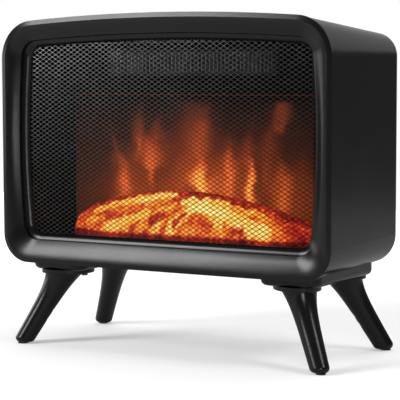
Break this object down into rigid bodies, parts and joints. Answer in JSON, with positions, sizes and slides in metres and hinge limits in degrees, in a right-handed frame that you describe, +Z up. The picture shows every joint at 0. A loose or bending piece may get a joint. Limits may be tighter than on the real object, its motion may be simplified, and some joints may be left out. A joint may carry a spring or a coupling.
{
  "type": "tabletop electric fireplace",
  "caption": "Small electric fireplace heater: a crowned, tapered black case on splayed legs, with a broad sloped bezel, a diamond mesh and a flame display over an ember bed.",
  "frame": {"origin": "on the surface that it stands on, under the middle of the box round the whole object", "axes": "+X to the right of someone who faces the flame display, +Y from the front to the back, +Z up"},
  "size_m": [0.34, 0.1528, 0.3075],
  "materials": {
    "satin_black": "satin black",
    "mesh_metal": "dark grey, satin",
    "black_sheet": "matt black",
    "flame_film": "frosted, lit from behind",
    "ember_resin": "clear amber resin, lit from below",
    "zinc_steel": "zinc plated",
    "circuit_board": "solder mask",
    "lamp_resin": "clear",
    "bright_foil": "bright",
    "bush_brass": "plain",
    "motor_shell": "satin",
    "pale_moulding": "matt",
    "soft_rubber": "matt",
    "switch_gloss": "glossy"
  },
  "bodies": {
    "cabinet": {"blower_bush": "bush_brass", "blower_housing": "zinc_steel", "blower_motor": "motor_shell", "case_shell": "satin_black", "chassis_plate": "zinc_steel", "chassis_screws": "zinc_steel", "control_board": "circuit_board", "cord_gland": "soft_rubber", "ember_bed": "ember_resin", "ember_lamps": "lamp_resin", "ember_light_board": "circuit_board", "firebox_liner": "black_sheet", "flame_lamps": "lamp_resin", "flame_light_board": "circuit_board", "flame_motor": "motor_shell", "flame_screen": "flame_film", "flame_switch_housing": "switch_gloss", "foot_pads": "soft_rubber", "foot_rail_left": "satin_black", "foot_rail_right": "satin_black", "front_bezel": "satin_black", "front_mesh": "mesh_metal", "front_screws": "zinc_steel", "heat_switch_housing": "switch_gloss", "heater_element": "bright_foil", "heater_frame": "pale_moulding", "leg_front_left": "satin_black", "leg_front_right": "satin_black", "leg_rear_left": "satin_black", "leg_rear_right": "satin_black", "leg_screws": "zinc_steel", "mesh_frame": "satin_black", "motor_bracket": "zinc_steel", "outlet_grille": "black_sheet", "rail_screws": "zinc_steel", "rear_cover": "satin_black", "rear_cover_screws": "zinc_steel", "spindle_bracket": "zinc_steel", "spindle_bush": "bush_brass", "terminal_block": "pale_moulding", "thermal_cutout": "pale_moulding", "tilt_switch": "pale_moulding", "upper_panel": "black_sheet"},
    "blower_rotor": {"blower_wheel": "bright_foil", "blower_shaft": "zinc_steel"},
    "flame_rotor": {"spindle_shaft": "zinc_steel", "spindle_foils": "bright_foil"},
    "flame_rocker": {"flame_rocker": "switch_gloss"},
    "heat_rocker": {"heat_rocker": "switch_gloss"}
  },
  "joints": [
    {"name": "blower_spin", "type": "hinge", "parent": "cabinet", "child": "blower_rotor", "pos_m": [0, 0.03276, 0.259], "axis": [1, 0, 0], "continuous": true},
    {"name": "flame_spin", "type": "hinge", "parent": "cabinet", "child": "flame_rotor", "pos_m": [0, 0.03476, 0.1127], "axis": [1, 0, 0], "continuous": true},
    {"name": "flame_switch", "type": "hinge", "parent": "cabinet", "child": "flame_rocker", "pos_m": [-0.118, 0.06586, 0.1125], "axis": [1, 0, 0], "range_deg": [0, 18]},
    {"name": "heat_switch", "type": "hinge", "parent": "cabinet", "child": "heat_rocker", "pos_m": [-0.092, 0.06586, 0.1125], "axis": [1, 0, 0], "range_deg": [0, 18]}
  ]
}
